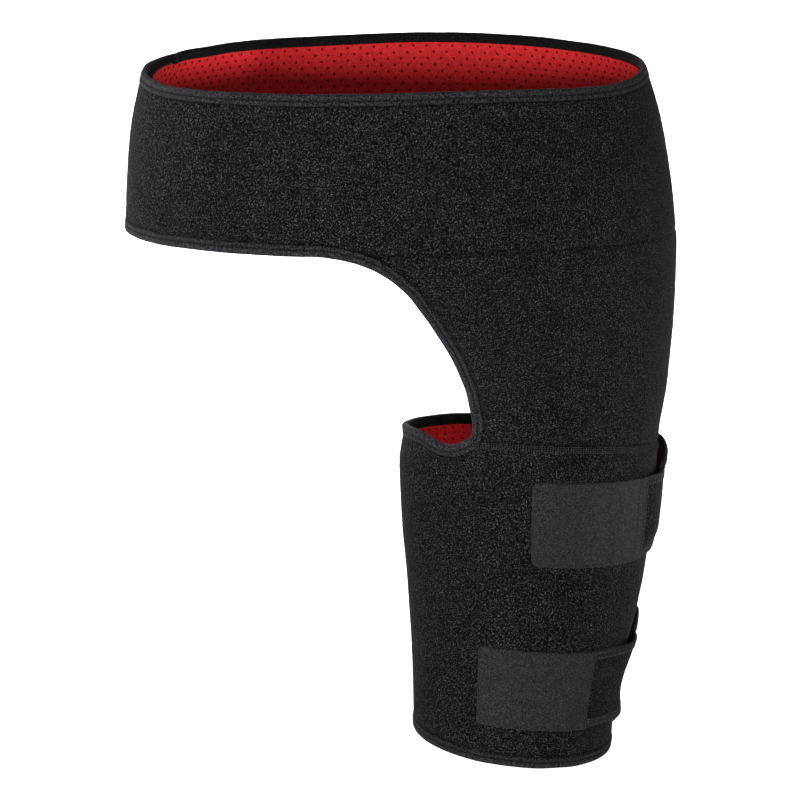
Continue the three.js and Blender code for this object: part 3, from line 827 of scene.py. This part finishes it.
def tape_section():
    """Closed section of the folded tape as rows of out and into."""
    outer, inner = TAPE_PROUD, -(LINING_IN + TAPE_PROUD)
    middle, half = (outer + inner) / 2, (outer - inner) / 2
    fold = [(middle + half * math.cos(t), TAPE_FOLD["into"] - TAPE_FOLD["round"] * math.sin(t))
            for t in np.linspace(0, math.pi, 9)]
    outside = [(0.12, TAPE_WIDTH), (outer * 0.72, TAPE_WIDTH - 0.25), (outer, TAPE_WIDTH - 1.1),
               (outer, TAPE_SEW + TAPE_GROOVE["half"]), (TAPE_GROOVE["floor"], TAPE_SEW),
               (outer, TAPE_SEW - TAPE_GROOVE["half"]), (outer, 1.6)]
    inside = [(inner, 2.4), (inner, TAPE_INSIDE - 1.1), (inner + 0.2, TAPE_INSIDE - 0.25),
              (-LINING_IN, TAPE_INSIDE)]
    core = [(-LINING_IN + 0.1, 0.5), (-0.05, 0.5)]
    return np.array(outside + fold + inside + core), len(outside)


def tape(name, path, node_name):
    """Tape folded over a bound edge, slightly uneven. Its weave holds run, width and share of the fold."""
    at, _, normal, into = path_frame(path)
    section, outer_points = tape_section()
    count, sides = len(at), len(section)
    run = run_along(at)
    ripple = 0.12 * grain(at, 9.0, 21) + 0.1 * grain(at, 4.0, 22)
    out = section[None, :, 0] + ripple[:, None] * np.where(section[:, 0] > 0.2, 1.0, 0.0)[None, :]
    deep = section[None, :, 1] + (0.25 * grain(at, 14.0, 23))[:, None]
    points = at[:, None] + normal[:, None] * out[..., None] + into[:, None] * deep[..., None]
    around = run_along(section)
    fold = np.clip((TAPE_PROUD - section[:, 0]) / (LINING_IN + 2 * TAPE_PROUD), 0, 1)
    fold = np.where(np.arange(sides) < outer_points, 0.0, fold)
    weave = np.stack(np.broadcast_arrays(run[:, None], around[None, :], fold[None, :]), axis=-1)
    i, k = np.meshgrid(np.arange(count - 1), np.arange(sides), indexing="ij")
    after = (k + 1) % sides
    faces = np.stack([i * sides + k, i * sides + after, (i + 1) * sides + after, (i + 1) * sides + k], axis=-1)
    faces = faces.reshape(-1, 4).tolist()
    faces.append(list(range(sides))[::-1])
    faces.append(list(range((count - 1) * sides, count * sides)))
    return add_piece(name, points.reshape(-1, 3), faces, [EDGE], node_name,
                     weave=weave.reshape(-1, 3))


def thread_line(at, normal, pitch, length, radius):
    """Points and faces of a row of sewn stitches along a line, each one sinking in at its ends."""
    run = run_along(at)
    middles = np.arange(pitch, run[-1] - pitch, pitch)
    sections, sides = 4, 4
    steps = np.linspace(-0.5, 0.5, sections)
    where = middles[:, None] + steps[None, :] * length
    place = np.stack([np.interp(where, run, at[:, k]) for k in range(3)], axis=-1)
    up = unit(np.stack([np.interp(where, run, normal[:, k]) for k in range(3)], axis=-1))
    along = unit(place[:, -1] - place[:, 0])[:, None]
    side = unit(np.cross(up, along))
    arch = radius * (1.1 - 7.0 * steps ** 2)
    width = radius * np.sqrt(np.maximum(0.2, 1 - (1.75 * steps) ** 2))
    turn = np.linspace(0, 2 * math.pi, sides, endpoint=False)
    ring = side[:, :, None] * np.cos(turn)[:, None] + up[:, :, None] * np.sin(turn)[:, None]
    points = (place + up * arch[None, :, None])[:, :, None] + ring * width[None, :, None, None]
    n, s, k = np.meshgrid(np.arange(len(middles)), np.arange(sections - 1), np.arange(sides), indexing="ij")
    first = (n * sections + s) * sides
    after = (k + 1) % sides
    faces = np.stack([first + k, first + after, first + sides + after, first + sides + k], axis=-1)
    starts = np.arange(len(middles)) * sections * sides
    caps = [(starts[:, None] + np.arange(sides)[::-1]).tolist(),
            (starts[:, None] + (sections - 1) * sides + np.arange(sides)).tolist()]
    return points.reshape(-1, 3), faces.reshape(-1, 4).tolist() + caps[0] + caps[1]


def stitching(name, lines, paint, stitch):
    """One piece of thread along several lines of points and normals."""
    points, faces, start = [], [], 0
    for at, normal in lines:
        made, around = thread_line(at, normal, *stitch)
        points.append(made)
        faces += [[start + corner for corner in face] for face in around]
        start += len(made)
    return add_piece(name, np.concatenate(points), faces, [paint])


def beside(path, into_cloth, out):
    """Line beside a bound edge, on the outer or the inner leg of its tape."""
    at, _, normal, into = path_frame(path)
    sign = 1.0 if out > -0.5 * LINING_IN else -1.0
    return at + normal * out + into * into_cloth, normal * sign


def strip(name, node_name, start, end, band, height_at, lift_at, thickness, corner, paints, slot, nap):
    """Flat strip laid on the cloth from one angle to another, with rounded far corners and soft edges.

    A second paint is for raised tapes along the two long edges.
    """
    middle = (band["top"] + band["bottom"]) / 2
    fine = np.linspace(start, end, 400)
    centre = form_point(fine, height_at(fine, middle))
    run = run_along(centre)
    length = run[-1]
    lead = np.concatenate([
        np.linspace(0, 1.0, 4)[:-1], np.linspace(1.0, length - corner - 1.0, int(length / 1.5))[:-1],
        length - (corner + 1.0) * (1 - np.sin(np.linspace(0, math.pi / 2, 9)))])
    angle = np.interp(lead, run, fine)[None, :]
    top, low = height_at(angle, band["top"]), height_at(angle, band["bottom"])
    left = np.minimum(corner, length - lead)
    trim = (corner - np.sqrt(np.maximum(0, corner ** 2 - (corner - left) ** 2)))[None, :]
    width = float(np.mean(top - low))
    rim = np.array([0, 0.15, 0.4, 0.8, 1.4, 3.4, STRAP_BAND - 0.2, STRAP_BAND + 0.2]) / width
    share = np.concatenate([rim, np.linspace(rim[-1], 1 - rim[-1], int(width / 1.6))[1:-1], 1 - rim[::-1]])
    angle, share = np.broadcast_arrays(angle, share[:, None])
    z = mixed(top - trim, low + trim, share)
    lift = lift_at(angle, share)
    from_side = np.minimum(share, 1 - share) * (top - low - 2 * trim)
    edge = np.minimum(from_side, np.minimum(lead, length - lead)[None, :] * np.ones(share.shape))
    crown = thickness * np.sqrt(1 - (1 - np.clip(edge / 0.9, 0, 1)) ** 2 * 0.8)
    base = cloth_point(angle, z, lift)
    normal = form_normal(angle, z)
    taped = np.minimum(share, 1 - share) * width < STRAP_BAND
    rough = nap * grain(base, 1.5, 31) * np.clip(edge, 0, 1)
    if len(paints) > 1:
        rough = np.where(taped, 0.25 * np.clip(edge, 0, 1) + 0.25 * rough, rough - 0.2 * np.clip(edge, 0, 1))
    outer = base + normal * (crown + rough)[..., None]
    points = np.concatenate([outer.reshape(-1, 3), base.reshape(-1, 3)])
    weave = np.stack(np.broadcast_arrays(lead[None, :], share * width, np.zeros((1, 1))), axis=-1)
    weave = np.concatenate([weave.reshape(-1, 3)] * 2)
    faces = wall_faces(*angle.shape, 1)
    inks = np.zeros(len(faces), dtype=np.int32)
    if len(paints) > 1:
        inks[:] = 1
        cell = (angle.shape[0] - 1) * (angle.shape[1] - 1)
        inks[:cell] = (taped[:-1, :-1] | taped[1:, 1:]).ravel()
    return add_piece(name, points, faces, paints, node_name, inks, weave, sharp=60)


belt = belt_cloth()
hip = hip_cloth()
thigh = thigh_cloth()
linings = [belt_lining(), hip_lining(), thigh_lining()]
tape("belt_top_tape", BELT_RIM, "belt_top_binding")
tape("leg_opening_tape", LEG_OPENING, "leg_opening_binding")
tape("hip_back_tape", HIP_BACK, "hip_back_binding")
tape("thigh_hem_tape", CUFF_HEM, "thigh_bottom_binding")
tape("wrap_notch_tape", NOTCH, "wrap_notch_binding")
sewn_out = [beside(path, TAPE_SEW, -0.3) for path in BOUND_EDGES]
sewn_in = [beside(path, TAPE_INSIDE - 1.3, 0.2 - LINING_IN - TAPE_PROUD) for path in BOUND_EDGES]
stitching("tape_stitches_outside", sewn_out, THREAD, TAPE_STITCH)
stitching("tape_stitches_inside", sewn_in, THREAD, INSIDE_STITCH)


def seam_row(offset):
    """Row of the flat seam between hip panel and thigh wrap, at a height above it."""
    turn = np.linspace(*THIGH_SEAM_TURN, 300)
    z = cuff_top(turn) + offset
    return cloth_point(turn, z, np.full(turn.shape, -seam_dip(abs(offset)))), form_normal(turn, z)


stitching("thigh_seam_stitches", [seam_row(h) for h in THIGH_SEAM_ROWS], GREY_THREAD, SEAM_STITCH)


def sewn_across(angle, band, height_at, lift_at, lift, margin=0.04, count=60):
    """Row of stitches across a strap or tab at one angle, at a lift over its underside."""
    share = np.linspace(margin, 1 - margin, count)
    turn = np.full(share.shape, angle)
    z = height_at(turn, mixed(band["top"], band["bottom"], share))
    return cloth_point(turn, z, lift_at(turn, share) + lift), form_normal(turn, z)


straps, tabs, tab_rows = [], [], []
for side_name, strap in STRAPS.items():
    def strap_height(angle, down, strap=strap):
        return cuff_height(angle, down) + strap["rise"] * smoothstep(angle, STRAP_RISE["from"], STRAP_RISE["to"])

    def lift_of_strap(angle, share, strap=strap):
        return strap_lift(angle, share, strap["curl"])

    def tab_lift(angle, share, strap=strap):
        over = smoothstep(angle, strap["end"] - TAB_STEP["to"], strap["end"] - TAB_STEP["from"])
        return strap_lift(angle, share, strap["curl"]) + (STRAP + TAB_STEP["clear"]) * over

    straps.append(strip(f"{side_name}_strap_cloth", f"{side_name}_strap", strap["root"], strap["end"], strap,
                        strap_height, lift_of_strap, STRAP, STRAP_END_ROUND, [LOOP, EDGE], "loop_cloth", NAP))
    tabs.append(strip(f"{side_name}_tab_tape", f"{side_name}_hook_tab", *strap["tab"], strap,
                      strap_height, tab_lift, TAB, strap["corner"], [HOOK], "hook_tape", HOOK_NAP))
    tab_rows += [sewn_across(strap["tab"][0] - inset, strap, strap_height, tab_lift, TAB - TAB_SEAM_SUNK)
                 for inset in TAB_SEAMS]
    tab_rows += [sewn_across(strap["root"] - inset, strap, strap_height, lift_of_strap, STRAP - ROOT_SEAM_SUNK)
                 for inset in ROOT_SEAMS]


def belt_tab_lift(angle, share):
    return np.full(np.shape(angle), BELT_TAB["lift"])


tabs.append(strip("belt_tab_tape", "belt_hook_tab", BELT_TAB["start"], BELT_TAB["end"], BELT_TAB,
                  belt_height, belt_tab_lift, TAB, BELT_TAB["corner"], [HOOK], "hook_tape", HOOK_NAP))
tab_rows += [sewn_across(BELT_TAB["start"] - inset, BELT_TAB, belt_height, belt_tab_lift, TAB - TAB_SEAM_SUNK,
                         0.03, 90) for inset in BELT_TAB_SEAMS]
stitching("strap_stitches", tab_rows, THREAD, STRAP_STITCH)

# Floor, lights and camera
FLOOR = {"reach": 14.0, "z": -0.85}
floor_mesh = bpy.data.meshes.new("floor")
floor_corners = [(x * FLOOR["reach"], y * FLOOR["reach"], 0) for x, y in ((-1, -1), (1, -1), (1, 1), (-1, 1))]
floor_mesh.from_pydata(floor_corners, [], [(0, 1, 2, 3)])
floor = bpy.data.objects.new("floor", floor_mesh)
floor.location = (0, 0, FLOOR["z"])
bpy.context.scene.collection.objects.link(floor)
paper, paper_tree, paper_shader = material("floor_paper")
paper_shade = ramp(paper_tree, noise(paper_tree, object_space(paper_tree), 3.0),
                   [(0.3, grey(0.9)), (0.7, grey(0.91))])
paper_tree.links.new(paper_shade, paper_shader.inputs["Base Color"])
paper_shader.inputs["Roughness"].default_value = 0.9
floor_mesh.materials.append(paper)

scene = bpy.context.scene
scene.view_settings.view_transform = "Standard"
world = bpy.data.worlds.new("studio")
world.use_nodes = True
sky = world.node_tree
direction = node(sky, "ShaderNodeTexCoord").outputs["Generated"]
height = node(sky, "ShaderNodeSeparateXYZ", {"Vector": direction}).outputs["Z"]
level = node(sky, "ShaderNodeMapRange", {"Value": height, "From Min": -1.0, "From Max": 1.0})
level = level.outputs["Result"]
glow = ramp(sky, level, [(0.45, grey(1.0)), (0.555, grey(1.0)), (0.63, grey(0.1)), (1.0, grey(0.06))])
sky.links.new(glow, sky.nodes["Background"].inputs["Color"])
sky.nodes["Background"].inputs["Strength"].default_value = 1.0
scene.world = world


def soft_light(name, place, aim, size, power, spread=180.0):
    """Area light aimed at a point. A small spread keeps its beam on what it is for."""
    data = bpy.data.lights.new(name, "AREA")
    data.spread = math.radians(spread)
    data.shape = "RECTANGLE"
    data.size, data.size_y = size
    data.energy = power
    lamp = bpy.data.objects.new(name, data)
    lamp.location = place
    lamp.rotation_euler = (Vector(aim) - Vector(place)).to_track_quat("-Z", "Y").to_euler()
    scene.collection.objects.link(lamp)


soft_light("key", (-1.7, -2.35, 0.19), (0.0, 0.0, 0.08), (1.3, 0.3), 21.5, 70.0)
soft_light("front", (-0.45, -3.3, 0.24), (0.0, 0.0, -0.05), (0.9, 0.3), 5.0, 90.0)
soft_light("fill", (2.2, -2.0, 0.1), (0.05, 0.0, -0.1), (1.0, 0.5), 7.5)
soft_light("leg", (-0.07, -0.72, 0.1), (0.035, 0.06, -0.2), (0.06, 0.03), 0.013, 9.0)
soft_light("side", (3.1, 0.5, 0.1), (0.15, 0.0, -0.19), (0.5, 0.12), 0.53, 10.7)
soft_light("edge", (-2.4, 1.4, 0.1), (-0.15, -0.02, 0.02), (0.3, 0.1), 0.28, 7.8)
soft_light("inside", (0.567, -0.972, 0.195), (-0.126, 0.068, 0.046), (0.1, 0.004), 0.0062, 1.6)
soft_light("back", (0.42, 2.97, 0.3), (0.0, 0.0, -0.1), (1.6, 0.9), 45.0)
soft_light("top", (0.0, 0.4, 2.2), (0.0, 0.0, 0.0), (1.2, 1.2), 2.0)
FLOOR_LIGHT = {"distance": 6.6, "height": 3.0, "size": (8.0, 8.0), "power": 620.0, "spread": 80.0}
for name, turn in {"back": 90, "front": -90, "left": 180, "right": 0}.items():
    x = FLOOR_LIGHT["distance"] * math.cos(math.radians(turn))
    y = FLOOR_LIGHT["distance"] * math.sin(math.radians(turn))
    soft_light(f"floor_{name}", (x, y, FLOOR_LIGHT["height"]), (x, y, 0.0), FLOOR_LIGHT["size"],
               FLOOR_LIGHT["power"], FLOOR_LIGHT["spread"])

CAMERA = {"turn": -8.0, "distance": 3.0, "height": 0.472, "aim": (0.002, 0.0, -0.165), "sensor": 36.0,
          "lens_in_pictures": 4790.0 / 800.0}
camera_data = bpy.data.cameras.new("camera")
camera = bpy.data.objects.new("camera", camera_data)
swing = math.radians(CAMERA["turn"])
camera.location = (CAMERA["distance"] * math.sin(swing), -CAMERA["distance"] * math.cos(swing), CAMERA["height"])
camera.rotation_euler = (Vector(CAMERA["aim"]) - camera.location).to_track_quat("-Z", "Y").to_euler()
camera_data.sensor_width = CAMERA["sensor"]
camera_data.lens = CAMERA["lens_in_pictures"] * CAMERA["sensor"]
camera_data.clip_end = 100.0
scene.collection.objects.link(camera)
scene.camera = camera
